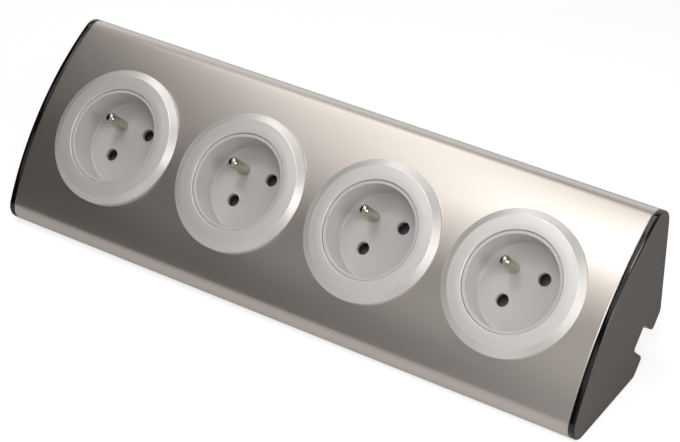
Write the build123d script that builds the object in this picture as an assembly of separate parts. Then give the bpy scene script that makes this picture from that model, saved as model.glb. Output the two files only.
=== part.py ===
from build123d import *

import os
from math import atan2, cos, pi, sin, sqrt

# Worktop socket unit, four gang, in millimetres.
# Every piece is drawn lying on its back: X runs along the unit, Y up the front face and Z out
# of it, with Z = 0 in the plane through the centres of the two noses. standing() then tips the
# finished piece by 45 degrees, so that one leg rests on the worktop and the other against the wall.
# The finished unit stands on Z = 0, with the origin under the middle of its box.

# Section of the unit
section_side = 72.4          # depth on the worktop, and the same height up the wall
nose_radius = 8.0
face_radius = 132.0          # bulge of the front, on the outside of the sheet
corner_cut = 14.7            # from the missing rear corner to the flat that cuts it
corner_round = 4.0
channel_width = 11.2         # cable channel in the cut corner
channel_depth = 11.7
channel_mouth_round = 1.8
channel_floor_round = 1.5

# Length
socket_count = 4
bezel_spacing = 5.2          # between neighbouring surrounds
end_land = 7.4               # from the last socket's bay to the end of the sheet
cap_thickness = 2.7
cap_edge_bevel = 0.7

# Sheet cover and base profile
cover_thickness = 0.8
lip_length = 7.0             # flat return of the sheet along each leg
cover_gap = 0.1              # between the sheet and what it wraps
base_wall = 2.0
bead_rise = 1.0              # how far the base follows the nose past its widest line
lip_end_gap = 0.3
tab_gap = 0.15
tab_thickness = 1.6
tab_length = 6.0
tab_width = 24.0
tab_middle = 6.0             # from the middle of a leg towards the nose
fixing_slot_length = 9.0
fixing_slot_width = 4.6
fixing_slot_row = -3.0       # Y of the slots in the bottom leg

# Sockets: surround and well
row_drop = 0.6               # the sockets sit this far below the middle of the face
bezel_proud = 2.05           # flat of the surround above the crown of the sheet
bezel_mouth_gap = 0.37       # round the well
bezel_shoulder_run = 3.2     # from the outer edge in to the flat
bezel_shoulder = 1.9
latch_width = 8.0            # two arms hook under ledges in the carrier
latch_thickness = 2.2
latch_reach = 8.0
latch_hook_height = 1.4
latch_hook_depth = 1.2
barb_width = 6.0             # two barbs snap under the sheet
barb_hold = 1.2              # how far they reach past the hole in the sheet
barb_height = 1.6
cutout_gap = 2.8             # from the arms to the hole in the sheet
sheet_overlap = 4.6          # of the surround over the sheet round that hole
sheet_seat_gap = 0.05
well_radius = 19.5
well_wall = 1.2
well_depth = 14.74
well_lip_drop = 0.7
well_floor_thickness = 2.0

# Plug face: two pin holes and an earth pin
pin_spacing = 19.0
pin_hole_radius = 2.7
face_turn = 45.0             # turn of the hole line in the face
earth_offset = 10.0
earth_radius = 2.4
earth_length = 13.0
earth_tip_height = 1.6
earth_tip_radius = 1.2
earth_shank = 3.0            # square behind the floor, so that the pin can't turn
earth_shank_gap = 0.05

# Contact carrier and its back plate
carrier_trim = 0.2           # its flats lie this far inside the outside of the well
back_plate_thickness = 1.2
plate_room = 1.5             # between the back plates and the channel's wall
ledge_gap = 0.1
shutter_pocket_depth = 5.0
cell_roof = 1.2
cell_width = 7.6
cell_height = 8.8
pin_passage = 5.8

# Shutter and its spring
shutter_length = 26.4
shutter_width = 6.6
shutter_travel = 6.2
shutter_gap = 0.3
shutter_top_land = 1.7
shutter_toe = 0.6
shutter_waist_width = 7.0
shutter_waist_depth = 2.2
spring_bay_width = 8.0
spring_bay_length = 7.2
spring_thickness = 0.3
spring_width = 3.0
spring_fold = 5.6
spring_gap = 0.1

# Contacts and bars
bar_thickness = 0.8
bar_width = 7.0
bar_setback = 1.2            # from the bars to the carrier's back
bar_gap = 0.1
bar_overhang = 4.0
contact_length = 5.4
contact_thickness = 0.5
contact_base_width = 6.4
contact_pinch = 4.6
contact_mouth = 7.0
contact_head_room = 1.15     # between the forks and the roof of their cells
contact_flare = 2.4          # from the mouth of a fork down to its pinch
earth_bar_row = 15.0         # earth strip above the middle of the sockets
earth_bar_width = 6.0
earth_bar_lift = 5.5         # earth strip in front of the line and neutral strips
earth_lug_width = 7.0
earth_lug_end = 3.5
slot_clearance = 0.2

# Terminal block in the middle bay
block_length = 16.0
block_low_end = 12.5
block_high_end = 19.5
block_top = 11.0             # above the tops of the line and neutral strips
block_foot_width = 14.0
block_foot_height = 2.2
wire_room = 3.8
terminal_screw_radius = 2.0
terminal_screw_gap = 0.02
terminal_screw_sink = 1.0

# Earth strap to the cover, in the bay before the last socket
strap_width = 6.0
strap_thickness = 0.5
strap_rise_row = 18.3
strap_foot_end = 12.4
strap_top_end = 12.8
strap_cover_gap = 0.1

# Cable bushing in the channel floor, in the bay after the first socket
cable_bore_radius = 4.15
bushing_neck_radius = 4.95
bushing_neck_gap = 0.05
bushing_flange_radius = 5.4
bushing_flange = 1.2

# Places that follow from the sizes above
well_outside = well_radius + well_wall
carrier_across = 2 * (well_outside - carrier_trim)
arm_inside = carrier_across / 2 + ledge_gap
arm_outside = arm_inside + latch_thickness
cutout_radius = arm_outside + cutout_gap
bezel_radius = cutout_radius + sheet_overlap
bezel_flat_radius = bezel_radius - bezel_shoulder_run
bezel_mouth_radius = well_outside + bezel_mouth_gap
barb_reach = cutout_radius + barb_hold
socket_pitch = 2 * bezel_radius + bezel_spacing
cover_length = socket_count * socket_pitch + 2 * end_land

slope = sqrt(0.5)
corner_reach = section_side * slope                       # nose plane to the missing corner
flat_level = corner_cut - corner_reach
nose_row = (section_side / 2 - nose_radius) / slope
face_drop = sqrt((face_radius - nose_radius) ** 2 - nose_row**2)
crown_level = face_radius - face_drop
base_inset = cover_thickness + cover_gap
inner_inset = base_inset + base_wall
lip_level = -slope * (nose_radius + lip_length) - lip_end_gap

face_level = crown_level + bezel_proud
shoulder_level = face_level - bezel_shoulder
floor_level = face_level - well_depth
carrier_front = floor_level - well_floor_thickness
channel_floor_level = flat_level + channel_depth
channel_roof_level = channel_floor_level + base_wall
carrier_back = channel_roof_level + plate_room + back_plate_thickness
pocket_level = carrier_front - shutter_pocket_depth
cell_level = pocket_level - cell_roof
bar_top = carrier_back + bar_setback + bar_thickness
earth_bar_top = bar_top + earth_bar_lift
contact_top = cell_level - contact_head_room

hole_row = pin_spacing / 2 * sin(face_turn * pi / 180)
hole_column = pin_spacing / 2 * cos(face_turn * pi / 180)
earth_row = earth_offset * cos(face_turn * pi / 180)
earth_column = -earth_offset * sin(face_turn * pi / 180)

socket_columns = [(i - (socket_count - 1) / 2) * socket_pitch for i in range(socket_count)]
inlet_column = socket_columns[0] + socket_pitch / 2
strap_column = socket_columns[-1] - socket_pitch / 2


def standing(piece):
    """Tip a finished piece from lying on its back to standing in its corner."""
    return Plane(origin=(0, 0, section_side / 2), x_dir=(1, 0, 0), z_dir=(0, -1, 1)) * piece


def along_unit(section, start, end):
    """Run a section, drawn in Y and Z, along the unit from start to end."""
    return Pos(start, 0, 0) * extrude(Plane.YZ * section, amount=end - start)


def at_socket(column):
    """Middle of a socket, on the lying unit."""
    return Pos(column, -row_drop, 0)


def at_plug_face(column):
    """The same, turned so that X runs through both pin holes and Y points at the earth pin."""
    return at_socket(column) * Rot(0, 0, face_turn)


def disc(radius, low, high):
    return Pos(0, 0, low) * extrude(Circle(radius), amount=high - low)


def block(x_range, y_range, z_range):
    """Box from its limits along X, Y and Z."""
    size = [high - low for low, high in (x_range, y_range, z_range)]
    corner = [low for low, high in (x_range, y_range, z_range)]
    return Pos(*corner) * Box(*size, align=(Align.MIN, Align.MIN, Align.MIN))


def turned(profile):
    """Revolve a closed list of (radius, level) points about Z."""
    return revolve(Plane.XZ * make_face(Polyline(*profile, close=True)), Axis.Z)


def nose_point(inset, angle):
    """Point on the right-hand nose, moved in by inset; the angle is from +Y towards +Z."""
    radius = nose_radius - inset
    return nose_row + radius * cos(angle), radius * sin(angle)


def mirrored(point):
    return -point[0], point[1]


def front_curve(inset):
    """The face and both noses, from one leg contact round to the other, moved in by inset."""
    leg_angle = -pi / 4
    touch_angle = atan2(face_drop, nose_row)
    leg = nose_point(inset, leg_angle)
    middle = nose_point(inset, (leg_angle + touch_angle) / 2)
    touch = nose_point(inset, touch_angle)
    right = ThreePointArc(leg, middle, touch)
    face = ThreePointArc(touch, (0, crown_level - inset), mirrored(touch))
    left = ThreePointArc(mirrored(touch), mirrored(middle), mirrored(leg))
    return right + face + left, leg


def outline(inset, rounding=0):
    """Filled section of the unit, moved in by inset, with its rear corner cut flat."""
    front, leg = front_curve(inset)
    flat = flat_level + inset
    flat_end = (corner_reach - inset / slope + flat, flat)
    rear = Polyline(mirrored(leg), mirrored(flat_end), flat_end, leg)
    section = make_face(front + rear)
    if rounding:
        corners = section.vertices().filter_by_position(Axis.Y, flat - 0.01, flat + 0.01)
        section = fillet(corners, rounding)
    return section


def channel(grow=0):
    """Section of the cable channel, grown by the thickness of the wall round it."""
    width = channel_width + 2 * grow
    height = 2 * (channel_depth + grow)
    return Pos(0, channel_floor_level + grow) * Rectangle(width, height, align=(Align.CENTER, Align.MAX))


def rear_section():
    """Outline with its rear corners and the edges of the channel rounded, as the caps show it."""
    section = outline(0, corner_round) - channel()
    half = channel_width / 2
    edges = section.vertices().filter_by_position(Axis.X, -half - 0.01, half + 0.01)
    lips = edges.filter_by_position(Axis.Y, flat_level - 0.01, flat_level + 0.01)
    section = fillet(lips, channel_mouth_round)
    edges = section.vertices().filter_by_position(Axis.X, -half - 0.01, half + 0.01)
    floor = edges.filter_by_position(Axis.Y, channel_floor_level - 0.01, channel_floor_level + 0.01)
    return fillet(floor, channel_floor_round)


def below(level):
    """Everything behind a level, as a section to intersect with."""
    return Pos(0, level) * Rectangle(2 * section_side, 2 * section_side, align=(Align.CENTER, Align.MAX))


def front_cover():
    """Sheet rolled round both noses, with a flat lip along each leg and a hole per socket."""
    outer, outer_leg = front_curve(0)
    inner, inner_leg = front_curve(cover_thickness)
    run = slope * lip_length
    outer_end = (outer_leg[0] - run, outer_leg[1] - run)
    inner_end = (inner_leg[0] - run, inner_leg[1] - run)
    right = Polyline(outer_leg, outer_end, inner_end, inner_leg)
    left = Polyline(mirrored(outer_leg), mirrored(outer_end), mirrored(inner_end), mirrored(inner_leg))
    sheet = along_unit(make_face(outer + inner + right + left), -cover_length / 2, cover_length / 2)
    for column in socket_columns:
        sheet -= at_socket(column) * disc(cutout_radius, 0, 2 * crown_level)
    return standing(sheet)


def base_profile():
    """Rear profile: two legs, the cut corner with its channel, and a bead inside each nose."""
    rear = rear_section() & below(lip_level)
    beads = outline(base_inset) & below(bead_rise)
    inside = outline(inner_inset) - channel(base_wall)
    base = along_unit(rear + (beads - channel()) - inside, -cover_length / 2, cover_length / 2)
    inlet = Pos(inlet_column, 0, 0)
    neck_radius = bushing_neck_radius + bushing_neck_gap
    seat_radius = bushing_flange_radius + bushing_neck_gap
    base -= inlet * disc(neck_radius, channel_floor_level, channel_roof_level)
    base -= inlet * disc(seat_radius, channel_floor_level - channel_floor_round, channel_floor_level)
    base = standing(base)
    slot = extrude(SlotOverall(fixing_slot_length, fixing_slot_width), amount=inner_inset)
    for column in (inlet_column, strap_column):
        base -= Pos(column, fixing_slot_row, 0) * slot
    return base


def end_cap(side):
    """Cap over one end of the section, with a tab that plugs in behind each leg of the base."""
    plate = along_unit(rear_section(), 0, cap_thickness)
    plate = chamfer(plate.faces().sort_by(Axis.X)[-1].edges(), cap_edge_bevel)
    near = inner_inset + tab_gap
    half = tab_width / 2
    tab = block((-tab_length, 0), (-tab_middle - half, -tab_middle + half), (near, near + tab_thickness))
    between_legs = Plane(origin=(0, 0, section_side / 2), z_dir=(0, 1, 1))
    cap = standing(plate) + tab + mirror(tab, between_legs)
    cap = Pos(cover_length / 2, 0, 0) * cap
    if side < 0:
        cap = mirror(cap, Plane.YZ)
    return cap


def bezel(column):
    """Surround: a flat ring with a sloped shoulder on the sheet, and two arms that snap in.

    Each arm has a barb under the sheet and a hook under a ledge of the carrier.
    """
    ring = turned([
        (bezel_mouth_radius, 0),
        (bezel_mouth_radius, face_level),
        (bezel_flat_radius, face_level),
        (bezel_radius, shoulder_level),
        (bezel_radius, 0),
    ])
    sheet = Plane.YZ * Pos(row_drop, -face_drop) * Circle(face_radius + sheet_seat_gap)
    body = ring - extrude(sheet, amount=2 * bezel_radius, both=True)
    arm_foot = carrier_front - latch_reach
    half_latch = latch_width / 2
    half_barb = barb_width / 2
    barb_top = cover_underside(row_drop + half_barb) - sheet_seat_gap
    barb_levels = (barb_top - barb_height, barb_top)
    for side in (0, 180):
        turn = Rot(0, 0, side)
        body += turn * block((arm_inside, arm_outside), (-half_latch, half_latch), (arm_foot, shoulder_level))
        body += turn * block(
            (arm_inside - latch_hook_depth, arm_inside),
            (-half_latch, half_latch),
            (arm_foot, arm_foot + latch_hook_height),
        )
        body += turn * block((arm_outside, barb_reach), (-half_barb, half_barb), barb_levels)
    body -= disc(bezel_mouth_radius, carrier_front, face_level)
    return standing(at_socket(column) * body)


def well(column):
    """Cup that takes the plug, with two pin holes and the earth pin's square hole in its floor."""
    lip = face_level - well_lip_drop
    cup = turned([
        (0, carrier_front),
        (well_outside, carrier_front),
        (well_outside, lip),
        (well_radius, lip),
        (well_radius, floor_level),
        (0, floor_level),
    ])
    for side in (-1, 1):
        cup -= Pos(side * pin_spacing / 2, 0, 0) * disc(pin_hole_radius, carrier_front, floor_level)
    half = earth_shank / 2 + earth_shank_gap
    cup -= Pos(0, earth_offset, 0) * block((-half, half), (-half, half), (carrier_front, floor_level))
    return standing(at_plug_face(column) * cup)


def earth_pin(column):
    """Plated pin with a tapered tip, seated on the floor, its shank brazed to the earth bar's lug."""
    tip = floor_level + earth_length
    pin = turned([
        (0, floor_level),
        (earth_radius, floor_level),
        (earth_radius, tip - earth_tip_height),
        (earth_tip_radius, tip),
        (0, tip),
    ])
    half = earth_shank / 2
    pin += block((-half, half), (-half, half), (earth_bar_top, floor_level))
    return standing(at_plug_face(column) * Pos(0, earth_offset, 0) * pin)


def shutter_pocket():
    """Room for the shutter's slide and its spring, about the plug face."""
    half_length = shutter_length / 2 + shutter_gap
    closed_edge = shutter_width / 2 + shutter_gap
    open_edge = closed_edge + shutter_travel
    slide = block((-half_length, half_length), (-open_edge, closed_edge), (pocket_level, carrier_front))
    bay_half = spring_bay_width / 2
    bay_end = open_edge + spring_bay_length
    return slide + block((-bay_half, bay_half), (-bay_end, -open_edge), (pocket_level, carrier_front))


def carrier(column):
    """Contact block: an octagon with a ledge per latch, a pocket in front and cells open at the back."""
    octagon = RegularPolygon(carrier_across / 2, 8, major_radius=False, rotation=22.5)
    body = Pos(0, 0, carrier_back) * extrude(octagon, amount=carrier_front - carrier_back)
    ledge = carrier_front - latch_reach + latch_hook_height + ledge_gap
    half_recess = latch_width / 2 + slot_clearance
    for side in (-1, 1):
        body -= Rot(0, 0, 90 + 90 * side) * block(
            (carrier_across / 2 - latch_hook_depth, carrier_across / 2),
            (-half_recess, half_recess),
            (carrier_back, ledge),
        )
    body -= Rot(0, 0, face_turn) * shutter_pocket()
    window = pin_passage / 2
    half_bar = bar_width / 2 + slot_clearance
    for side in (-1, 1):
        cell = Pos(side * hole_column, side * hole_row)
        body -= cell * block(
            (-cell_width / 2, cell_width / 2), (-cell_height / 2, cell_height / 2), (carrier_back, cell_level)
        )
        body -= cell * block((-window, window), (-window, window), (cell_level, pocket_level))
        bar_slot = (side * hole_row - half_bar, side * hole_row + half_bar)
        body -= block((-carrier_across, carrier_across), bar_slot, (carrier_back, bar_top + bar_gap))
    earth = Pos(earth_column, earth_row)
    body -= earth * block((-window, window), (-window, window), (carrier_back, carrier_front))
    half_strip = earth_bar_width / 2 + slot_clearance
    slot_roof = earth_bar_top + bar_gap
    body -= block(
        (-carrier_across, carrier_across),
        (earth_bar_row - half_strip, earth_bar_row + half_strip),
        (carrier_back, slot_roof),
    )
    half_lug = earth_lug_width / 2 + slot_clearance
    body -= block(
        (earth_column - half_lug, earth_column + half_lug),
        (earth_row - earth_lug_end - slot_clearance, earth_bar_row),
        (carrier_back, slot_roof),
    )
    return standing(at_socket(column) * body)


def back_plate(column):
    """Insulating lid that traps the bars in the back of a carrier."""
    octagon = RegularPolygon(carrier_across / 2, 8, major_radius=False, rotation=22.5)
    plate = Pos(0, 0, carrier_back - back_plate_thickness) * extrude(octagon, amount=back_plate_thickness)
    return standing(at_socket(column) * plate)


def shutter(column):
    """Slide that closes both pin holes: a ramp under each hole, thinned between the two."""
    top = carrier_front - shutter_gap
    bottom = pocket_level + shutter_gap
    half = shutter_width / 2
    ramped = make_face(Polyline(
        (-half, bottom),
        (half, bottom),
        (half, bottom + shutter_toe),
        (-half + shutter_top_land, top),
        (-half, top),
        close=True,
    ))
    slide = along_unit(ramped, -shutter_length / 2, shutter_length / 2)
    waist = shutter_waist_width / 2
    slide -= block((-waist, waist), (-half, half), (top - shutter_waist_depth, top))
    return standing(at_plug_face(column) * slide)


def shutter_spring(column):
    """Leaf folded to and fro between the back of the shutter and the end of its bay."""
    near = -(shutter_width / 2 + spring_gap + spring_thickness / 2)
    far = -(shutter_width / 2 + shutter_gap + shutter_travel + spring_bay_length - spring_thickness / 2)
    step = (far - near) / 3
    half = spring_fold / 2
    line = Polyline(
        (half, near), (-half, near), (half, near + step), (-half, near + 2 * step), (half, far), (-half, far)
    )
    leaf = trace(line, spring_thickness)
    middle = (carrier_front + pocket_level) / 2
    spring = Pos(0, 0, middle - spring_width / 2) * extrude(leaf, amount=spring_width)
    return standing(at_plug_face(column) * spring)


def contact(column, side):
    """Sprung fork on a bar: two leaves that pinch a plug's pin, flared at the mouth."""
    foot = bar_top + contact_thickness / 2
    pinch_level = contact_top - contact_flare
    base = (contact_base_width - contact_thickness) / 2
    pinch = (contact_pinch + contact_thickness) / 2
    mouth = (contact_mouth + contact_thickness) / 2
    line = Polyline(
        (-mouth, contact_top),
        (-pinch, pinch_level),
        (-base, foot),
        (base, foot),
        (pinch, pinch_level),
        (mouth, contact_top),
    )
    fork = along_unit(trace(line, contact_thickness), -contact_length / 2, contact_length / 2)
    return standing(at_socket(column) * Pos(side * hole_column, side * hole_row, 0) * fork)


def supply_bar(side):
    """Flat strip under one row of contacts, from the first fork to the last."""
    first = socket_columns[0] + side * hole_column - bar_overhang
    last = socket_columns[-1] + side * hole_column + bar_overhang
    middle = side * hole_row - row_drop
    strip = block(
        (first, last), (middle - bar_width / 2, middle + bar_width / 2), (bar_top - bar_thickness, bar_top)
    )
    return standing(strip)


def earth_bar():
    """Strip with a lug under each earth pin."""
    levels = (earth_bar_top - bar_thickness, earth_bar_top)
    first = socket_columns[0] + earth_column - earth_lug_width / 2
    last = socket_columns[-1] + bar_overhang
    middle = earth_bar_row - row_drop
    strip = block((first, last), (middle - earth_bar_width / 2, middle + earth_bar_width / 2), levels)
    for column in socket_columns:
        lug = (column + earth_column - earth_lug_width / 2, column + earth_column + earth_lug_width / 2)
        strip += block(lug, (earth_row - row_drop - earth_lug_end, middle), levels)
    return standing(strip)


def poles():
    """Row and strip top of the neutral, line and earth poles."""
    return [(-hole_row, bar_top), (hole_row, bar_top), (earth_bar_row, earth_bar_top)]


def terminal_block():
    """Insulating block over the bars, standing on the channel's wall, with a screw hole per pole."""
    half = block_length / 2
    top = bar_top + block_top
    foot_top = channel_roof_level + block_foot_height
    body = block((-half, half), (-block_low_end, block_high_end), (foot_top, top))
    foot_half = block_foot_width / 2
    body += block((-half, half), (row_drop - foot_half, row_drop + foot_half), (channel_roof_level, foot_top))
    half_slot = bar_width / 2 + slot_clearance
    for row, strip_top in poles():
        slot_floor = strip_top - bar_thickness - bar_gap
        body -= block((-half, half), (row - half_slot, row + half_slot), (slot_floor, strip_top + wire_room))
        body -= Pos(0, row, 0) * disc(terminal_screw_radius + terminal_screw_gap, strip_top, top)
    return standing(at_socket(0) * body)


def terminal_screws():
    """One headless clamping screw per pole, driven down to its strip."""
    top = bar_top + block_top - terminal_screw_sink
    screws = []
    for row, strip_top in poles():
        screw = disc(terminal_screw_radius, strip_top + bar_gap, top)
        screws.append(standing(at_socket(0) * Pos(0, row, 0) * screw))
    return Compound(children=screws)


def cover_underside(row):
    """Level of the inside of the sheet at a row of the lying unit."""
    return sqrt((face_radius - cover_thickness) ** 2 - row**2) - face_drop


def cover_earth_strap():
    """Spring strip welded on the earth bar, bent over to press on the inside of the cover."""
    foot = earth_bar_top + strap_thickness / 2
    lean = strap_thickness / 2 + strap_cover_gap
    line = Polyline(
        (strap_foot_end, foot),
        (strap_rise_row, foot),
        (strap_rise_row, cover_underside(strap_rise_row) - 2 * strap_thickness - lean),
        (strap_top_end, cover_underside(strap_top_end) - lean),
    )
    half = strap_width / 2
    return standing(along_unit(trace(line, strap_thickness), strap_column - half, strap_column + half))


def cable_bushing():
    """Rubber bushing pressed through the channel's wall, with its flange in the channel."""
    bushing = turned([
        (cable_bore_radius, channel_floor_level - bushing_flange),
        (bushing_flange_radius, channel_floor_level - bushing_flange),
        (bushing_flange_radius, channel_floor_level),
        (bushing_neck_radius, channel_floor_level),
        (bushing_neck_radius, channel_roof_level),
        (cable_bore_radius, channel_roof_level),
    ])
    return standing(Pos(inlet_column, 0, 0) * bushing)


def build():
    """Every piece by its name."""
    pieces = {
        "front_cover": front_cover(),
        "base_profile": base_profile(),
        "end_cap_left": end_cap(-1),
        "end_cap_right": end_cap(1),
        "line_bar": supply_bar(1),
        "neutral_bar": supply_bar(-1),
        "earth_bar": earth_bar(),
        "terminal_block": terminal_block(),
        "terminal_screws": terminal_screws(),
        "cover_earth_strap": cover_earth_strap(),
        "cable_bushing": cable_bushing(),
    }
    for number, column in enumerate(socket_columns, start=1):
        pieces[f"socket_{number}_bezel"] = bezel(column)
        pieces[f"socket_{number}_well"] = well(column)
        pieces[f"socket_{number}_carrier"] = carrier(column)
        pieces[f"socket_{number}_back_plate"] = back_plate(column)
        pieces[f"socket_{number}_shutter"] = shutter(column)
        pieces[f"socket_{number}_shutter_spring"] = shutter_spring(column)
        pieces[f"socket_{number}_earth_pin"] = earth_pin(column)
        pieces[f"socket_{number}_line_contact"] = contact(column, 1)
        pieces[f"socket_{number}_neutral_contact"] = contact(column, -1)
    return pieces


os.makedirs("parts", exist_ok=True)
for name, piece in build().items():
    export_step(piece, f"parts/{name}.step")
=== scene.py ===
import math

import bmesh
import bpy
from mathutils import Matrix, Quaternion, Vector


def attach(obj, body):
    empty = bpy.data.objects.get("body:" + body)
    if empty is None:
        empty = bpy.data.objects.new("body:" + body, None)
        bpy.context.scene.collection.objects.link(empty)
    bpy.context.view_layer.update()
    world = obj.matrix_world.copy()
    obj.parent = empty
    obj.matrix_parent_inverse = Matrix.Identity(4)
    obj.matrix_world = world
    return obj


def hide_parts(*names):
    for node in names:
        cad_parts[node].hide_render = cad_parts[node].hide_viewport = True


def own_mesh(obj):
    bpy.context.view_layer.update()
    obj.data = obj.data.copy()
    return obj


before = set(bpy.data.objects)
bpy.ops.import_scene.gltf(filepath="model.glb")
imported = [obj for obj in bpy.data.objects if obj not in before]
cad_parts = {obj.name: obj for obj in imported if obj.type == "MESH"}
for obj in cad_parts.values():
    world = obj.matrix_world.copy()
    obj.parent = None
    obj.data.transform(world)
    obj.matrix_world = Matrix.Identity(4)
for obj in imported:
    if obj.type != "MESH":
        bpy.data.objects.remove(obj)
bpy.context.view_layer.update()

# Sizes in millimetres, on the unit as it lies on its back: X along it, Y up the face, Z out of it.
MM = 0.001
MM_PER_METRE = 1000.0
SLOPE = math.sqrt(0.5)
FACE_TILT = math.radians(45)
PLUG_TURN = math.radians(45)

# Section of the unit
section_side = 72.4
nose_radius = 8.0
face_radius = 132.0
corner_cut = 14.7
corner_round = 4.0
channel_width = 11.2
channel_depth = 11.7
channel_mouth_round = 1.8
channel_floor_round = 1.5
sheet_thickness = 0.8
lip_length = 7.0
lip_steps = 3
cover_end_break = ((0, 0.32), (0.28, 0.04))  # back from the end, and in from the skin
cover_end_hold = 0.36
cover_end_plain = 0.6
base_inset = 0.9
base_wall = 2.0

# Length
socket_count = 4
socket_pitch = 65.6
cover_length = 277.2
cap_thickness = 2.7
cap_edge_round = 0.7
cap_edge_hold = 0.15
cap_seam = ((0, 0.18), (0.05, 0.06), (0.18, 0))  # out from the cover, and in from the skin
cap_band = (0.22, 0.05)  # where the polished band ends, in from the cap's side
tab_front = -18.0
tab_rear = 6.0
tab_thickness = 1.6
tab_reach = 6.0
tab_clearance = 0.15

# One socket
row_drop = 0.6
bezel_proud = 2.05
bezel_radius = 30.2
bezel_shoulder = 1.9
bezel_mouth_radius = 21.07
bezel_mouth_round = 0.35
bezel_skirt_level = 13.6
crown_corner = 23.4
crown_round = 22.0
crown_fall = 0.24
crown_edge = 27.1
shoulder_round = 0.8
rim_round = 0.15
cutout_radius = 25.6
cutout_stroke = 30.0
sheet_seat_gap = 0.05
well_radius = 19.5
well_outside = 20.7
well_depth = 14.74
well_lip_drop = 0.7
well_lip_width = 0.2
well_lip_depth = 2.0
well_lip_outer_round = 0.24
well_lip_inner_round = 0.3
well_root_round = 1.1
well_root_hold = 1.5
well_back_round = 0.2
well_floor_thickness = 2.0
pin_spacing = 19.0
pin_hole_radius = 2.7
pin_hole_bevel = 0.14
pin_rim_inside = 0.20
pin_rim_top = 1.0
pin_rim_outside = 1.15
pin_rim_height = 0.16
pin_rim_root = 0.2
pin_rim_rounds = (0.1, 0.12)
earth_offset = 10.0
earth_radius = 2.4
earth_length = 13.0
earth_seat = 0.02
earth_root_ease = 0.2
earth_dome = 1.7
earth_dome_fullness = 0.8
earth_dome_steps = 10
earth_play = 0.1
earth_shank = 3.0
earth_bar_level = -12.595
arm_inside = 21.09
arm_outside = 22.8
arm_half_width = 4.0
arm_reach = 8.0
arm_root = 0.2
hook_inside = 19.4
hook_height = 1.4
barb_reach = 26.8
barb_half_width = 3.0
barb_height = 1.6
spring_near = -3.4
spring_far = -17.0
spring_low = -4.10
spring_high = -1.10
spring_fold = 5.6
spring_thickness = 0.3
spring_bend = 0.45

# Places that follow
nose_row = (section_side / 2 - nose_radius) / SLOPE
face_drop = math.sqrt((face_radius - nose_radius) ** 2 - nose_row**2)
crown_level = face_radius - face_drop
corner_reach = section_side * SLOPE
flat_level = corner_cut - corner_reach
channel_floor_level = flat_level + channel_depth
face_level = crown_level + bezel_proud
shoulder_level = face_level - bezel_shoulder
floor_level = face_level - well_depth
carrier_front = floor_level - well_floor_thickness
lip_level = face_level - well_lip_drop
pin_tip_level = floor_level + earth_length

STANDING = (
    Matrix.Translation((0, 0, section_side / 2 * MM))
    @ Matrix.Rotation(FACE_TILT, 4, "X")
    @ Matrix.Scale(MM, 4)
)

# How finely the shapes are drawn
NOSE_STEPS = 24
FACE_STEPS = 44
SHEET_STEPS = 112
EDGE_STEPS = 6
RING_FACES = 144
HOLE_FACES = 64
PIN_FACES = 48
PUNCH_FACES = 128
CREASE = math.radians(38)  # edges sharper than this stay sharp
MERGE = 1e-4  # points nearer than this are one
TINY = 1e-6
SHARPEST = 0.3  # least cosine used at a corner of an outline that is moved in

# How far one solid of a piece runs into the next, and a drill out of what it cuts
OVERLAP = 0.1
DRILL_PAST = 1.0


# ---------------------------------------------------------------- finishes


class Reading:
    """A value, colour or vector that a socket gives. Arithmetic on values adds the nodes for it."""

    def __init__(self, recipe, socket):
        self.recipe = recipe
        self.socket = socket

    def other(self, name):
        """Another output of the same node."""
        return Reading(self.recipe, self.socket.node.outputs[name])

    def __add__(self, term):
        return self.recipe.math("ADD", self, term)

    __radd__ = __add__

    def __sub__(self, term):
        return self.recipe.math("SUBTRACT", self, term)

    def __rsub__(self, term):
        return self.recipe.math("SUBTRACT", term, self)

    def __mul__(self, term):
        return self.recipe.math("MULTIPLY", self, term)

    __rmul__ = __mul__

    def __abs__(self):
        return self.recipe.math("ABSOLUTE", self, 0.0)


class Recipe:
    """A node tree as it is written down: a finish, the room's light or a way to repeat a piece."""

    def __init__(self, tree):
        self.tree = tree
        self.tree.nodes.clear()

    def node(self, kind, settings=None, sockets=None, gives=0):
        """Add one node: its settings, then what each of its sockets holds or is joined to."""
        made = self.tree.nodes.new(kind)
        for name, value in (settings or {}).items():
            setattr(made, name, value)
        for name, value in (sockets or {}).items():
            if isinstance(value, Reading):
                self.tree.links.new(value.socket, made.inputs[name])
            else:
                made.inputs[name].default_value = value
        return Reading(self, made.outputs[gives]) if len(made.outputs) else made

    def math(self, operation, first, second):
        return self.node("ShaderNodeMath", {"operation": operation}, {0: first, 1: second})

    def vector(self, operation, first, second):
        return self.node("ShaderNodeVectorMath", {"operation": operation}, {0: first, 1: second})

    def rise(self, value, low, high):
        """0 below low, 1 above high and a soft step between."""
        settings = {"interpolation_type": "SMOOTHSTEP"}
        sockets = {"Value": value, "From Min": low, "From Max": high}
        return self.node("ShaderNodeMapRange", settings, sockets)

    def blend(self, share, first, second):
        """Mix of two colours."""
        settings = {"data_type": "RGBA"}
        return self.node("ShaderNodeMix", settings, {0: share, 6: first, 7: second}, gives=2)


def tone(red, green, blue):
    """Opaque colour."""
    return (red, green, blue, 1.0)


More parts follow.
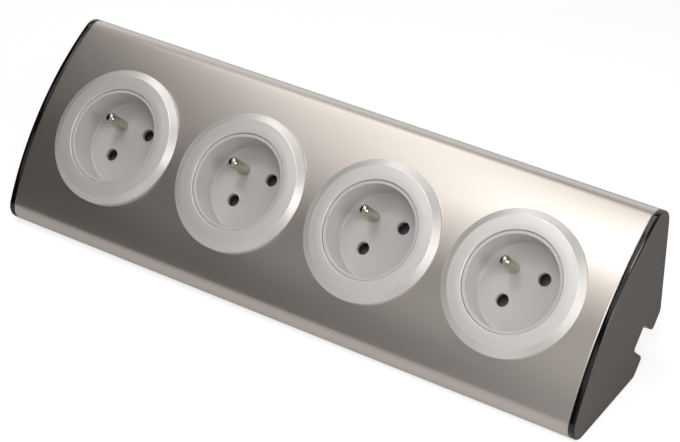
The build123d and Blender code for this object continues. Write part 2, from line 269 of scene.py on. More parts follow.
class Finish(Recipe):
    """A material, with the places of its pieces in millimetres to draw patterns on."""

    def __init__(self, name):
        self.material = bpy.data.materials.new(name)
        self.material.use_nodes = True
        super().__init__(self.material.node_tree)
        here = self.node("ShaderNodeTexCoord", gives="Object")
        self.place = self.vector("MULTIPLY", here, (MM_PER_METRE, MM_PER_METRE, MM_PER_METRE))

    def grain(self, stretch, detail=2.0):
        """Noise from 0 to 1, with a number of waves per millimetre each way."""
        scaled = self.vector("MULTIPLY", self.place, stretch)
        sockets = {"Vector": scaled, "Scale": 1.0, "Detail": detail, "Roughness": 0.55}
        return self.node("ShaderNodeTexNoise", None, sockets)

    def bump(self, height, depth, strength=1.0):
        """Normal over a height from 0 to 1 that stands for a depth in millimetres."""
        sockets = {"Height": height, "Distance": depth * MM, "Strength": strength}
        return self.node("ShaderNodeBump", None, sockets)

    def surface(self, sockets):
        shader = self.node("ShaderNodeBsdfPrincipled", None, sockets)
        self.node("ShaderNodeOutputMaterial", None, {"Surface": shader})
        return self.material


def brushed_steel():
    """Satin stainless sheet, brushed along the unit."""
    steel = Finish("brushed_steel")
    hairs = steel.grain((0.02, 5.0, 5.0), 3.0)
    strokes = steel.grain((0.01, 1.1, 1.1), 2.0)
    clouds = steel.grain((0.012, 0.03, 0.03), 1.0)
    lines = hairs * 0.6 + strokes * 0.4
    colour = steel.blend(clouds, tone(0.604, 0.558, 0.519), tone(0.664, 0.627, 0.591))
    return steel.surface({
        "Base Color": steel.blend(lines * 0.35, colour, tone(0.50, 0.455, 0.42)),
        "Metallic": 1.0,
        "Roughness": 0.31 + lines * 0.10,
        "Normal": steel.bump(lines, 0.006, 0.5),
    })


def moulded(name, colour, shade, roughness, texture, waves=2.5, polish=0.0, pearl=0.0):
    """Moulded plastic: an even colour with faint clouds, and the skin that a mould leaves.

    Polish is its clear gloss, and pearl the share of it that mirrors the room softly.
    """
    plastic = Finish(name)
    clouds = plastic.grain((0.06, 0.06, 0.06), 2.0)
    skin = plastic.grain((waves, waves, waves), 2.0)
    return plastic.surface({
        "Base Color": plastic.blend(clouds, tone(*colour), tone(*shade)),
        "Roughness": roughness - 0.05 + skin * 0.10,
        "Metallic": pearl,
        "Coat Weight": polish,
        "Coat Roughness": 0.16,
        "Normal": plastic.bump(skin, texture),
    })


def cap_plastic():
    """Black caps: a polished edge band, and a fine eroded grain on the flat side."""
    plastic = Finish("cap_plastic")
    along = plastic.node("ShaderNodeSeparateXYZ", None, {0: plastic.place})
    outer = cover_length / 2 + cap_thickness
    side = plastic.rise(abs(along), outer - cap_band[0], outer - cap_band[1])
    clouds = plastic.grain((0.05, 0.05, 0.05), 3.0)
    speckle = plastic.grain((2.2, 2.2, 2.2), 3.0)
    grained = plastic.blend(clouds, tone(0.110, 0.099, 0.092), tone(0.136, 0.124, 0.116))
    grained = plastic.blend(speckle * 0.3, grained, tone(0.052, 0.047, 0.044))
    return plastic.surface({
        "Base Color": plastic.blend(side, tone(0.006, 0.005, 0.006), grained),
        "Roughness": 0.08 + side * 0.52 + speckle * 0.04,
        "Normal": plastic.bump(speckle * side, 0.02),
    })


def plated(name, colour, worn, roughness):
    """Plated or bare metal with the fine marks of handling."""
    metal = Finish(name)
    marks = metal.grain((1.6, 0.5, 0.5), 3.0)
    return metal.surface({
        "Base Color": metal.blend(marks, tone(*colour), tone(*worn)),
        "Metallic": 1.0,
        "Roughness": roughness - 0.05 + marks * 0.12,
        "Normal": metal.bump(marks, 0.004),
    })


def profile_plastic():
    """Extruded rear profile: fine draw lines along it."""
    plastic = Finish("profile_plastic")
    draw = plastic.grain((0.01, 2.0, 2.0), 3.0)
    clouds = plastic.grain((0.03, 0.05, 0.05), 2.0)
    return plastic.surface({
        "Base Color": plastic.blend(clouds, tone(0.022, 0.020, 0.021), tone(0.034, 0.031, 0.032)),
        "Roughness": 0.36 + draw * 0.16,
        "Normal": plastic.bump(draw, 0.012),
    })


# Moulded pieces: colour, its shade in the clouds, roughness and height of the skin
MOULDED = {
    "bezel_plastic": ((0.82, 0.798, 0.782), (0.86, 0.838, 0.822), 0.36, 0.0004),
    "well_plastic": ((0.655, 0.637, 0.640), (0.695, 0.677, 0.680), 0.34, 0.003),
    "carrier_plastic": ((0.15, 0.15, 0.155), (0.18, 0.18, 0.185), 0.5, 0.01),
    "shutter_plastic": ((0.11, 0.11, 0.112), (0.14, 0.14, 0.142), 0.26, 0.004),
    "terminal_plastic": ((0.50, 0.50, 0.47), (0.56, 0.56, 0.53), 0.45, 0.008),
    "bushing_rubber": ((0.020, 0.020, 0.021), (0.032, 0.032, 0.033), 0.7, 0.02),
}
GLOSS = {
    "bezel_plastic": {"waves": 1.5, "polish": 0.4, "pearl": 0.40},
    "well_plastic": {"polish": 0.3},
}

# Plated and bare metals: colour, worn colour and roughness
METALS = {
    "spring_steel": ((0.56, 0.56, 0.57), (0.46, 0.46, 0.47), 0.28),
    "screw_steel": ((0.60, 0.60, 0.60), (0.48, 0.48, 0.47), 0.35),
    "pin_plating": ((0.60, 0.575, 0.485), (0.49, 0.465, 0.375), 0.18),
    "contact_brass": ((0.78, 0.58, 0.28), (0.66, 0.46, 0.20), 0.3),
}

finishes = {
    "brushed_steel": brushed_steel(),
    "cap_plastic": cap_plastic(),
    "profile_plastic": profile_plastic(),
}
for title, looks in MOULDED.items():
    finishes[title] = moulded(title, *looks, **GLOSS.get(title, {}))
for title, looks in METALS.items():
    finishes[title] = plated(title, *looks)

inner_finish = {
    "base_profile": "profile_plastic",
    "terminal_block": "terminal_plastic",
    "terminal_screws": "screw_steel",
    "cable_bushing": "bushing_rubber",
    "line_bar": "contact_brass",
    "neutral_bar": "contact_brass",
    "earth_bar": "contact_brass",
    "cover_earth_strap": "contact_brass",
    "carrier": "carrier_plastic",
    "back_plate": "carrier_plastic",
    "shutter": "shutter_plastic",
    "line_contact": "contact_brass",
    "neutral_contact": "contact_brass",
}


def dress_inner_nodes():
    """Give each carried-over node its finish: socket_2_shutter takes the shutter's."""
    for name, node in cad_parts.items():
        kind = name.split("_", 2)[2] if name.startswith("socket_") else name
        if kind not in inner_finish:
            continue
        for place in node.material_slots:
            place.material = finishes[inner_finish[kind]]


# ---------------------------------------------------------------- shapes


def rounded(corners, steps=5, hold=0.12, closed=True):
    """Line through (x, y, radius) corners, each rounded, with a flat point held beside it."""
    points = []
    for i, (x, y, radius) in enumerate(corners):
        corner = Vector((x, y))
        if not radius or (not closed and i in (0, len(corners) - 1)):
            points.append(tuple(corner))
            continue
        back = (Vector(corners[i - 1][:2]) - corner).normalized()
        ahead = (Vector(corners[(i + 1) % len(corners)][:2]) - corner).normalized()
        half = back.angle(ahead) / 2
        run = radius / math.tan(half)
        middle = corner + (back + ahead).normalized() * (radius / math.sin(half))
        first = corner + back * run - middle
        turn = first.angle_signed(corner + ahead * run - middle)
        points.append(tuple(corner + back * (run + hold)))
        for k in range(steps + 1):
            spoke = Matrix.Rotation(-turn * k / steps, 2) @ first
            points.append(tuple(middle + spoke))
        points.append(tuple(corner + ahead * (run + hold)))
    return points


def front_line(inset):
    """The upper nose, the face and the lower nose, from leg to leg, moved in by inset."""
    start = -math.pi / 4
    touch = math.atan2(face_drop, nose_row)
    radius = nose_radius - inset
    upper = [
        (nose_row + radius * math.cos(angle), radius * math.sin(angle))
        for angle in (start + (touch - start) * i / NOSE_STEPS for i in range(NOSE_STEPS + 1))
    ]
    radius = face_radius - inset
    middle = [
        (radius * math.cos(angle), radius * math.sin(angle) - face_drop)
        for angle in (touch + (math.pi - 2 * touch) * i / FACE_STEPS for i in range(1, FACE_STEPS))
    ]
    lower = [(-x, y) for x, y in reversed(upper)]
    return upper + middle + lower


def section_outline():
    """Outline of the caps: the front, both legs, the cut corner and the cable channel."""
    front = front_line(0)
    half = channel_width / 2
    rear = [
        (front[-1][0], front[-1][1], 0),
        (-corner_cut, flat_level, corner_round),
        (-half, flat_level, channel_mouth_round),
        (-half, channel_floor_level, channel_floor_round),
        (half, channel_floor_level, channel_floor_round),
        (half, flat_level, channel_mouth_round),
        (corner_cut, flat_level, corner_round),
        (front[0][0], front[0][1], 0),
    ]
    return front + rounded(rear, steps=10, hold=0.1, closed=False)[1:-1]


def moved_in(points, distance):
    """A closed outline, anticlockwise, moved in by a distance."""
    moved = []
    for i, point in enumerate(points):
        here = Vector(point)
        before = (here - Vector(points[i - 1])).normalized()
        after = (Vector(points[(i + 1) % len(points)]) - here).normalized()
        inward = Vector((-before.y - after.y, before.x + after.x)).normalized()
        reach = distance / max(SHARPEST, inward.dot(Vector((-before.y, before.x))))
        moved.append(tuple(here + inward * reach))
    return moved


def bridge(made, first, second):
    """Faces between two closed rings of corners."""
    for i in range(len(first)):
        j = (i + 1) % len(first)
        made.faces.new((first[i], first[j], second[j], second[i]))


def stack(made, outlines):
    """Closed solid through rings of points, from its first end to its last."""
    rings = [[made.verts.new(point) for point in outline] for outline in outlines]
    for first, second in zip(rings, rings[1:]):
        bridge(made, first, second)
    made.faces.new(rings[0])
    made.faces.new(rings[-1])


def take_in(made, part):
    """Add a part to the solid that is being made."""
    mesh = bpy.data.meshes.new("part")
    part.to_mesh(mesh)
    part.free()
    made.from_mesh(mesh)
    bpy.data.meshes.remove(mesh)


def box(made, x_range, y_range, z_range, ease=0.15):
    """Small moulded block with its edges eased."""
    size = [high - low for low, high in (x_range, y_range, z_range)]
    centre = [(high + low) / 2 for low, high in (x_range, y_range, z_range)]
    place = Matrix.Translation(centre) @ Matrix.Diagonal((*size, 1))
    cube = bmesh.ops.create_cube(made, size=1.0, matrix=place)
    edges = {edge for corner in cube["verts"] for edge in corner.link_edges}
    bmesh.ops.bevel(made, geom=list(edges), offset=ease, segments=2, affect="EDGES", profile=0.7)


def lathe(made, profile, centre=(0, 0), steps=RING_FACES, level=None):
    """Turn a closed (radius, level) profile about Z. level(x, y, z) may move a point up or down."""
    rings = []
    for radius, height in profile:
        around = 1 if radius < TINY else steps
        ring = []
        for k in range(around):
            angle = 2 * math.pi * k / steps
            x = centre[0] + radius * math.cos(angle)
            y = centre[1] + radius * math.sin(angle)
            ring.append(made.verts.new((x, y, level(x, y, height) if level else height)))
        rings.append(ring)
    for first, second in zip(rings, rings[1:] + rings[:1]):
        if len(first) == 1 and len(second) == 1:
            continue
        for k in range(steps):
            j = (k + 1) % steps
            inner = [first[k % len(first)], first[j % len(first)]]
            outer = [second[j % len(second)], second[k % len(second)]]
            made.faces.new(list(dict.fromkeys(inner + outer)))


def finished(name, made):
    """Mesh object of a finished solid, stood up in its place."""
    bmesh.ops.remove_doubles(made, verts=made.verts, dist=MERGE)
    bmesh.ops.recalc_face_normals(made, faces=made.faces)
    made.transform(STANDING)
    mesh = bpy.data.meshes.new(name)
    made.to_mesh(mesh)
    made.free()
    piece = bpy.data.objects.new(name, mesh)
    bpy.context.scene.collection.objects.link(piece)
    soften(mesh)
    return piece


def soften(mesh):
    """Smooth shading, with the edges sharper than the crease angle kept."""
    mesh.shade_smooth()
    mesh.set_sharp_from_angle(angle=CREASE)


# ---------------------------------------------------------------- repeats


def new_tree(name, inputs):
    """An empty tree with its named inputs, and what its input node gives."""
    tree = bpy.data.node_groups.new(name, "GeometryNodeTree")
    for title, kind in inputs:
        tree.interface.new_socket(title, in_out="INPUT", socket_type=f"NodeSocket{kind}")
    tree.interface.new_socket("Piece", in_out="OUTPUT", socket_type="NodeSocketGeometry")
    recipe = Recipe(tree)
    return recipe, recipe.node("NodeGroupInput")


def socket_places(recipe, given):
    """One point for each socket, evenly along the unit and centred on it."""
    first = (given.other("Count") - 1.0) * given.other("Pitch") * -0.5
    start = recipe.node("ShaderNodeCombineXYZ", None, {"X": first})
    step = recipe.node("ShaderNodeCombineXYZ", None, {"X": given.other("Pitch")})
    sockets = {"Count": given.other("Count"), "Start Location": start, "Offset": step}
    return recipe.node("GeometryNodeMeshLine", {"mode": "OFFSET"}, sockets)


def close_tree(recipe, pieces, given):
    """The repeats made one mesh in their finish, as the export needs them."""
    whole = recipe.node("GeometryNodeRealizeInstances", None, {0: pieces})
    sockets = {"Geometry": whole, "Material": given.other("Finish")}
    coated = recipe.node("GeometryNodeSetMaterial", None, sockets)
    recipe.node("NodeGroupOutput", None, {"Piece": coated})
    return recipe.tree


def row_of_sockets():
    """Repeat one socket's piece along the unit."""
    inputs = [("One", "Geometry"), ("Count", "Int"), ("Pitch", "Float"), ("Finish", "Material")]
    recipe, given = new_tree("row_of_sockets", inputs)
    places = socket_places(recipe, given)
    sockets = {"Points": places, "Instance": given.other("One")}
    return close_tree(recipe, recipe.node("GeometryNodeInstanceOnPoints", None, sockets), given)


def punched_holes():
    """Punch a round hole for each socket through the rolled sheet, square to its face."""
    inputs = [
        ("Sheet", "Geometry"), ("Count", "Int"), ("Pitch", "Float"), ("Radius", "Float"),
        ("Stroke", "Float"), ("Centre", "Vector"), ("Finish", "Material"),
    ]
    recipe, given = new_tree("punched_holes", inputs)
    punch = recipe.node("GeometryNodeMeshCylinder", None, {
        "Vertices": PUNCH_FACES, "Radius": given.other("Radius"), "Depth": given.other("Stroke"),
    })
    tipped = recipe.node("GeometryNodeTransform", None, {
        "Geometry": punch,
        "Translation": given.other("Centre"),
        "Rotation": (FACE_TILT, 0.0, 0.0),
    })
    punches = recipe.node("GeometryNodeInstanceOnPoints", None, {
        "Points": socket_places(recipe, given), "Instance": tipped,
    })
    cutters = recipe.node("GeometryNodeRealizeInstances", None, {0: punches})
    settings = {"operation": "DIFFERENCE", "solver": "EXACT"}
    sockets = {"Mesh 1": given.other("Sheet"), "Mesh 2": cutters}
    holed = recipe.node("GeometryNodeMeshBoolean", settings, sockets)
    return close_tree(recipe, holed, given)


def run_tree(piece, tree, values):
    """Put a piece through a tree and keep the result as its plain mesh."""
    modifier = piece.modifiers.new("repeat", "NODES")
    modifier.node_group = tree
    for item in tree.interface.items_tree:
        if item.in_out == "INPUT" and item.name in values:
            modifier[item.identifier] = values[item.name]
    seen = piece.evaluated_get(bpy.context.evaluated_depsgraph_get())
    result = bpy.data.meshes.new_from_object(seen)
    piece.modifiers.clear()
    result.materials.clear()
    result.materials.append(values["Finish"])
    for face in result.polygons:
        face.material_index = 0
    piece.data = result
    soften(result)
    return piece


def settle(piece, slot, *nodes):
    """A finished piece stands for its nodes and rides with the housing."""
    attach(piece, "housing")
    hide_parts(*nodes)
    return piece


def in_every_socket(kind):
    """Names of one kind of node in the four sockets."""
    return [f"socket_{number}_{kind}" for number in range(1, socket_count + 1)]


def repeat_socket(piece, slot, kind):
    """One socket's piece made four, standing for its node in each socket."""
    values = {"Count": socket_count, "Pitch": socket_pitch * MM, "Finish": finishes[slot]}
    run_tree(piece, row_tree, values)
    return settle(piece, slot, *in_every_socket(kind))


# ---------------------------------------------------------------- pieces


def front_cover():
    """Sheet rolled round both noses, its ends broken by the file, with a hole for each socket."""
    run = SLOPE * lip_length / lip_steps
    skins = []
    for depth in (0, sheet_thickness):
        line = front_line(depth)
        x, y = line[0]
        lip = [(x - run * k, y - run * k) for k in range(lip_steps, 0, -1)]
        skins.append(lip + line + [(-x, y) for x, y in reversed(lip)])
    loop = skins[0] + skins[1][::-1]
    half = cover_length / 2
    plain = half - cover_end_plain
    end = [(half - back, moved_in(loop, depth)) for back, depth in cover_end_break]
    end.append((half - cover_end_hold, loop))
    stations = [(-x, ring) for x, ring in end]
    stations += [(plain * (2 * k / SHEET_STEPS - 1), loop) for k in range(SHEET_STEPS + 1)]
    stations += end[::-1]
    made = bmesh.new()
    rings = [[made.verts.new((x, v, n)) for v, n in ring] for x, ring in stations]
    for first, second in zip(rings, rings[1:]):
        bridge(made, first, second)
    last = len(loop) - 1
    for ring in (rings[0], rings[-1]):
        for i in range(len(loop) // 2 - 1):
            made.faces.new((ring[i], ring[i + 1], ring[last - i - 1], ring[last - i]))
    piece = finished("rolled_cover", made)
    run_tree(piece, punched_holes(), {
        "Count": socket_count,
        "Pitch": socket_pitch * MM,
        "Radius": cutout_radius * MM,
        "Stroke": cutout_stroke * MM,
        "Centre": STANDING @ Vector((0, -row_drop, crown_level)),
        "Finish": finishes["brushed_steel"],
    })
    return settle(piece, "brushed_steel", "front_cover")


def end_cap(side, name):
    """Cap with a rounded outer edge, and the two tabs behind the legs."""
    outline = section_outline()
    half = cover_length / 2
    outer = half + cap_thickness
    stations = [(half + out, depth) for out, depth in cap_seam]
    stations.append((outer - cap_edge_round - cap_edge_hold, 0))
    for k in range(EDGE_STEPS + 1):
        angle = math.pi / 2 * k / EDGE_STEPS
        depth = cap_edge_round * (1 - math.cos(angle))
        stations.append((outer - cap_edge_round * (1 - math.sin(angle)), depth))
    stations.append((outer, cap_edge_round + cap_edge_hold))
    made = bmesh.new()
    stack(made, [
        [(side * x, v, n) for v, n in moved_in(outline, depth)] for x, depth in stations
    ])
    near = base_inset + base_wall + tab_clearance
    middle = section_side / 2
    low_tab = ((tab_front, tab_rear), (near, near + tab_thickness))
    rear_tab = (
        (middle - near - tab_thickness, middle - near),
        (middle - tab_rear, middle - tab_front),
    )
    for y_range, z_range in (low_tab, rear_tab):
        tab = bmesh.new()
        box(tab, sorted((side * (half - tab_reach), side * half)), y_range, z_range, ease=0.3)
        tab.transform(STANDING.inverted() @ Matrix.Scale(MM, 4))
        take_in(made, tab)
    piece = finished(name, made)
    piece.data.materials.append(finishes["cap_plastic"])
    return settle(piece, "cap_plastic", name.replace("_moulding", ""))


def surrounds():
    """Off-white rings on the sheet: a slight crown, a soft shoulder and a small round at the mouth.

    Two arms reach down to the carrier. Each has a hook that holds it and a barb behind the sheet.
    """
    made = bmesh.new()
    seat = face_radius + sheet_seat_gap

    def on_sheet(x, y, height):
        """The foot follows the bulge of the sheet; every other level stays."""
        return math.sqrt(seat**2 - (y - row_drop) ** 2) - face_drop if height < 0 else height

    profile = rounded([
        (bezel_mouth_radius, face_level, bezel_mouth_round),
        (crown_corner, face_level, crown_round),
        (crown_edge, face_level - crown_fall, shoulder_round),
        (bezel_radius, shoulder_level, rim_round),
        (bezel_radius, bezel_skirt_level, 0),
        (bezel_mouth_radius, bezel_skirt_level, 0),
    ], EDGE_STEPS)
    foot = [(radius, -1.0) for radius in (bezel_radius, bezel_mouth_radius)]
    lathe(made, profile[:-2] + foot, level=on_sheet)
    low = carrier_front - arm_reach
    high = crown_level - arm_root
    under = math.sqrt((face_radius - sheet_thickness) ** 2 - (row_drop + barb_half_width) ** 2)
    barb_top = under - face_drop - sheet_seat_gap
    arm = (arm_inside, arm_outside, arm_half_width, low, high)
    hook = (hook_inside, bezel_mouth_radius + OVERLAP, arm_half_width, low, low + hook_height)
    barb = (arm_outside - OVERLAP, barb_reach, barb_half_width, barb_top - barb_height, barb_top)
    for side in (-1, 1):
        for inside, outside, half, bottom, top in (arm, hook, barb):
            box(made, sorted((side * inside, side * outside)), (-half, half), (bottom, top))
    bmesh.ops.translate(made, verts=made.verts, vec=(0, -row_drop, 0))
    return repeat_socket(finished("surrounds", made), "bezel_plastic", "bezel")


def at_plug_face(points):
    """Turn (x, y) places about the plug face: X through both pin holes, Y at the earth pin."""
    turn = Matrix.Rotation(PLUG_TURN, 2)
    return [turn @ Vector(point) for point in points]


def wells():
    """Grey cups with a rounded lip, a soft root, a raised rim round each pin hole and the holes."""
    made = bmesh.new()
    lip_radius = well_outside + well_lip_width
    lip_foot = lip_level - well_lip_depth
    profile = rounded([
        (0, carrier_front, 0),
        (well_outside, carrier_front, well_back_round),
        (well_outside, lip_foot - well_lip_width, 0),
        (lip_radius, lip_foot, 0),
        (lip_radius, lip_level, well_lip_outer_round),
        (well_radius, lip_level, well_lip_inner_round),
        (well_radius, floor_level, well_root_round),
        (well_radius - well_root_hold, floor_level, 0),
        (0, floor_level, 0),
    ], EDGE_STEPS)
    lathe(made, profile)
    cup = finished("wells", made)
    drills = bmesh.new()
    line, neutral, earth = at_plug_face([
        (pin_spacing / 2, 0), (-pin_spacing / 2, 0), (0, earth_offset),
    ])
    over, under = floor_level + DRILL_PAST, carrier_front - DRILL_PAST
    for hole in (line, neutral):
        lathe(drills, [
            (0, over),
            (pin_hole_radius + pin_hole_bevel, over),
            (pin_hole_radius + pin_hole_bevel, floor_level),
            (pin_hole_radius, floor_level - pin_hole_bevel),
            (pin_hole_radius, under),
            (0, under),
        ], hole, HOLE_FACES)
    middle = Matrix.Translation((earth.x, earth.y, (floor_level + carrier_front) / 2))
    punch = bmesh.ops.create_cube(drills, size=earth_shank + earth_play, matrix=middle)
    turn = Matrix.Rotation(PLUG_TURN, 3, "Z")
    bmesh.ops.rotate(drills, verts=punch["verts"], cent=(earth.x, earth.y, 0), matrix=turn)
    cutter = finished("drills", drills)
    cut = cup.modifiers.new("holes", "BOOLEAN")
    cut.operation, cut.solver, cut.object = "DIFFERENCE", "EXACT", cutter
    seen = cup.evaluated_get(bpy.context.evaluated_depsgraph_get())
    drilled = bpy.data.meshes.new_from_object(seen)
    cup.modifiers.clear()
    bpy.data.objects.remove(cutter)
    rims = bmesh.new()
    root, top = floor_level - pin_rim_root, floor_level + pin_rim_height
    for hole in (line, neutral):
        ring = rounded([
            (pin_hole_radius + pin_rim_inside, root, 0),
            (pin_hole_radius + pin_rim_inside, top, pin_rim_rounds[0]),
            (pin_hole_radius + pin_rim_top, top, pin_rim_rounds[1]),
            (pin_hole_radius + pin_rim_outside, root, 0),
        ], steps=3, hold=0.02)
        lathe(rims, ring, hole, HOLE_FACES)
    bmesh.ops.recalc_face_normals(rims, faces=rims.faces)
    rims.transform(STANDING)
    rims.from_mesh(drilled)
    bmesh.ops.dissolve_degenerate(rims, dist=TINY, edges=rims.edges)
    rims.to_mesh(drilled)
    rims.free()
    cup.data = drilled
    drilled.transform(Matrix.Translation(STANDING.to_3x3() @ Vector((0, -row_drop, 0))))
    return repeat_socket(cup, "well_plastic", "well")


def earth_pins():
    """Plated pins with a domed tip, on a square shank behind the floor."""
    made = bmesh.new()
    (place,) = at_plug_face([(0, earth_offset)])
    profile = [
        (0, floor_level + earth_seat),
        (earth_radius - earth_root_ease, floor_level + earth_seat),
        (earth_radius, floor_level + 0.3),
        (earth_radius, floor_level + 0.8),
        (earth_radius, pin_tip_level - earth_dome - 0.2),
    ]
    for k in range(earth_dome_steps):
        angle = math.pi / 2 * k / earth_dome_steps
        rise = earth_dome * (math.sin(angle) - 1)
        reach = earth_radius * math.cos(angle) ** earth_dome_fullness
        profile.append((reach, pin_tip_level + rise))
    profile.append((0, pin_tip_level))
    lathe(made, profile, place, PIN_FACES)
    shank = bmesh.new()
    half = earth_shank / 2
    heights = (earth_bar_level, floor_level + OVERLAP)
    box(shank, (-half, half), (-half, half), heights, ease=0.1)
    turn = Matrix.Rotation(PLUG_TURN, 4, "Z")
    shank.transform(Matrix.Translation((place.x, place.y, 0)) @ turn)
    take_in(made, shank)
    bmesh.ops.translate(made, verts=made.verts, vec=(0, -row_drop, 0))
    return repeat_socket(finished("earth_pins", made), "pin_plating", "earth_pin")


def shutter_springs():
    """Folded leaf behind each shutter, its bends rounded."""
    half, edge = spring_fold / 2, spring_thickness / 2
    near, far = spring_near - edge, spring_far + edge
    step = (far - near) / 3
    zigzag = [
        (half, near), (-half, near),
        (half, near + step), (-half, near + 2 * step),
        (half, far), (-half, far),
    ]
    bends = rounded([(x, y, spring_bend) for x, y in zigzag], steps=4, hold=0.02, closed=False)
    line = [Vector(point) for point in bends]
    turn = Matrix.Rotation(PLUG_TURN, 4, "Z")
    for number in range(1, socket_count + 1):
        column = (number - (socket_count + 1) / 2) * socket_pitch
        place = Matrix.Translation((column, -row_drop, 0)) @ turn
        sections = []
        for i, point in enumerate(line):
            along = (line[min(i + 1, len(line) - 1)] - line[max(i - 1, 0)]).normalized()
            side = Vector((-along.y, along.x)) * edge
            left, right = point + side, point - side
            sections.append([
                (left.x, left.y, spring_low), (right.x, right.y, spring_low),
                (right.x, right.y, spring_high), (left.x, left.y, spring_high),
            ])
        made = bmesh.new()
        stack(made, sections)
        made.transform(place)
        leaf = finished(f"folded_leaf_{number}", made)
        leaf.data.materials.append(finishes["spring_steel"])
        settle(leaf, "spring_steel", f"socket_{number}_shutter_spring")
        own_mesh(leaf)


# ---------------------------------------------------------------- studio


# Lamps: name, place in metres, width, height and watts. Six soft boxes hang 0.8 m over the worktop,
# three stand in front and four at the right. Each is turned at the middle of the unit.
LAMPS = (
    ("overhead_1", (-0.35, -0.45, 0.80), 0.30, 0.30, 0.27),
    ("overhead_2", (-0.29, -0.14, 0.80), 0.28, 0.28, 0.36),
    ("overhead_3", (-0.35, 0.15, 0.80), 0.30, 0.30, 0.70),
    ("overhead_4", (-0.05, -0.45, 0.80), 0.30, 0.30, 0.23),
    ("overhead_5", (-0.07, -0.20, 0.80), 0.18, 0.18, 0.92),
    ("overhead_6", (-0.05, 0.15, 0.80), 0.30, 0.30, 0.25),
    ("front_left", (-0.40, -0.95, 0.58), 0.40, 0.36, 0.29),
    ("front_high", (0.0, -0.95, 0.58), 0.40, 0.36, 0.37),
    ("front_low", (0.0, -0.95, 0.20), 0.40, 0.36, 0.26),
    ("right_strip", (0.22, -0.34, 0.44), 0.20, 0.10, 0.32),
    ("right_front", (0.45, -0.50, 0.28), 0.25, 0.25, 0.07),
    ("right_near", (0.32, -0.20, 0.34), 0.38, 0.38, 0.46),
    ("right_end", (0.55, -0.12, 0.22), 0.25, 0.25, 0.75),
)
LAMP_TARGET = Vector((0, 0, 0.04))
LAMP_COLOUR = (1.0, 0.985, 0.96)
WHITE = tone(1.0, 1.0, 1.0)

# The floor: half its side in metres, its grey, and how white it looks to the eye and in metal
FLOOR_REACH = 6
FLOOR_GREY = tone(0.62, 0.62, 0.62)
FLOOR_SEEN = 0.72
FLOOR_MIRRORED = 0.18

# The room: how bright its walls are, and where walls and backdrop come up and end, as directions
WALL_LIGHT = 0.08
WALLS_FROM = (-0.2, 0.8)
BACKDROP_FROM = (0.2, 0.6)
BACKDROP_TOP = (0.62, 0.85)

# The camera, found by fitting the unit's corners and circles to the photograph
LENS = 112.07346
SENSOR = 36.0
CAMERA_PLACE = (0.41139268, -0.60198166, 0.53387991)
CAMERA_TURN = Quaternion((0.84822880, 0.44495025, 0.13662509, 0.25270687))


def straight_and_mirrored(recipe):
    """Whether a ray comes from the eye, and whether a glossy or clear surface sent it."""
    ray = recipe.node("ShaderNodeLightPath", gives="Is Camera Ray")
    glossy, clear = ray.other("Is Glossy Ray"), ray.other("Is Transmission Ray")
    return ray, recipe.math("MAXIMUM", glossy, clear)


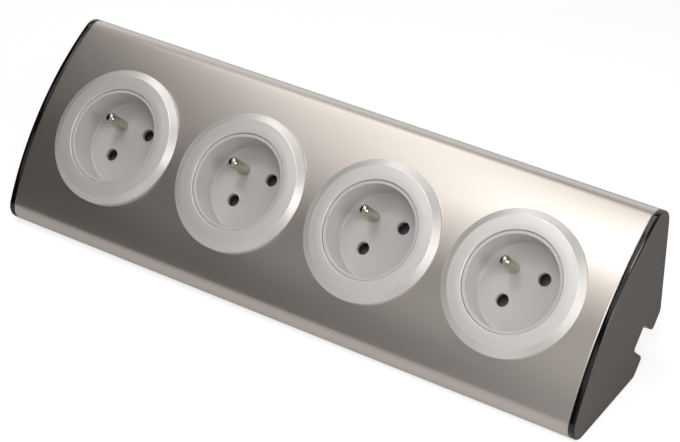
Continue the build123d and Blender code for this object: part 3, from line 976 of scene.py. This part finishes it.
def floor():
    """Plain pale floor: white to the eye, and it keeps the unit's shadow."""
    reach = FLOOR_REACH
    corners = [(-reach, -reach, 0), (reach, -reach, 0), (reach, reach, 0), (-reach, reach, 0)]
    mesh = bpy.data.meshes.new("floor")
    mesh.from_pydata(corners, [], [(0, 1, 2, 3)])
    ground = bpy.data.objects.new("floor", mesh)
    bpy.context.scene.collection.objects.link(ground)
    material = bpy.data.materials.new("paper")
    material.use_nodes = True
    paper = Recipe(material.node_tree)
    seen, mirrored = straight_and_mirrored(paper)
    glow = paper.math("MAXIMUM", seen * FLOOR_SEEN, mirrored * FLOOR_MIRRORED)
    lit = paper.node("ShaderNodeBsdfDiffuse", None, {"Color": FLOOR_GREY})
    white = paper.node("ShaderNodeEmission", None, {"Color": WHITE, "Strength": glow})
    both = paper.node("ShaderNodeAddShader", None, {0: lit, 1: white})
    paper.node("ShaderNodeOutputMaterial", None, {"Surface": both})
    mesh.materials.append(material)


def room():
    """Dim room, with a white backdrop behind the unit that metal shows too."""
    world = bpy.data.worlds.new("room")
    world.use_nodes = True
    bpy.context.scene.world = world
    air = Recipe(world.node_tree)
    way = air.node("ShaderNodeTexCoord", gives="Generated")
    parts = air.node("ShaderNodeSeparateXYZ", None, {0: way})
    back, up = parts.other("Y"), parts.other("Z")
    walls = air.rise(back, *WALLS_FROM) * WALL_LIGHT
    backdrop = air.rise(back, *BACKDROP_FROM) * (1.0 - air.rise(up, *BACKDROP_TOP))
    straight, mirrored = straight_and_mirrored(air)
    seen = air.math("MAXIMUM", straight, mirrored * backdrop)
    light = air.node("ShaderNodeBackground", None, {
        "Color": WHITE, "Strength": walls * (1.0 - seen) + seen,
    })
    air.node("ShaderNodeOutputWorld", None, {"Surface": light})


def lamp(name, place, width, height, watts):
    """Soft box at a place, turned at the unit. The camera doesn't see it, but metal does."""
    light = bpy.data.lights.new(name, "AREA")
    light.shape, light.size, light.size_y = "RECTANGLE", width, height
    light.energy, light.color = watts, LAMP_COLOUR
    stand = bpy.data.objects.new(name, light)
    stand.location = place
    stand.rotation_euler = (LAMP_TARGET - Vector(place)).to_track_quat("-Z", "Y").to_euler()
    stand.visible_camera = False
    bpy.context.scene.collection.objects.link(stand)


def camera():
    """At the photograph's place, with its view."""
    lens = bpy.data.cameras.new("camera")
    lens.lens, lens.sensor_width, lens.sensor_fit = LENS, SENSOR, "HORIZONTAL"
    stand = bpy.data.objects.new("camera", lens)
    stand.location = CAMERA_PLACE
    stand.rotation_mode = "QUATERNION"
    stand.rotation_quaternion = CAMERA_TURN
    bpy.context.scene.collection.objects.link(stand)
    bpy.context.scene.camera = stand


row_tree = row_of_sockets()
dress_inner_nodes()
front_cover()
end_cap(-1, "end_cap_left_moulding")
end_cap(1, "end_cap_right_moulding")
surrounds()
wells()
earth_pins()
shutter_springs()

floor()
room()
for fitting in LAMPS:
    lamp(*fitting)
camera()
bpy.context.scene.view_settings.view_transform = "Standard"
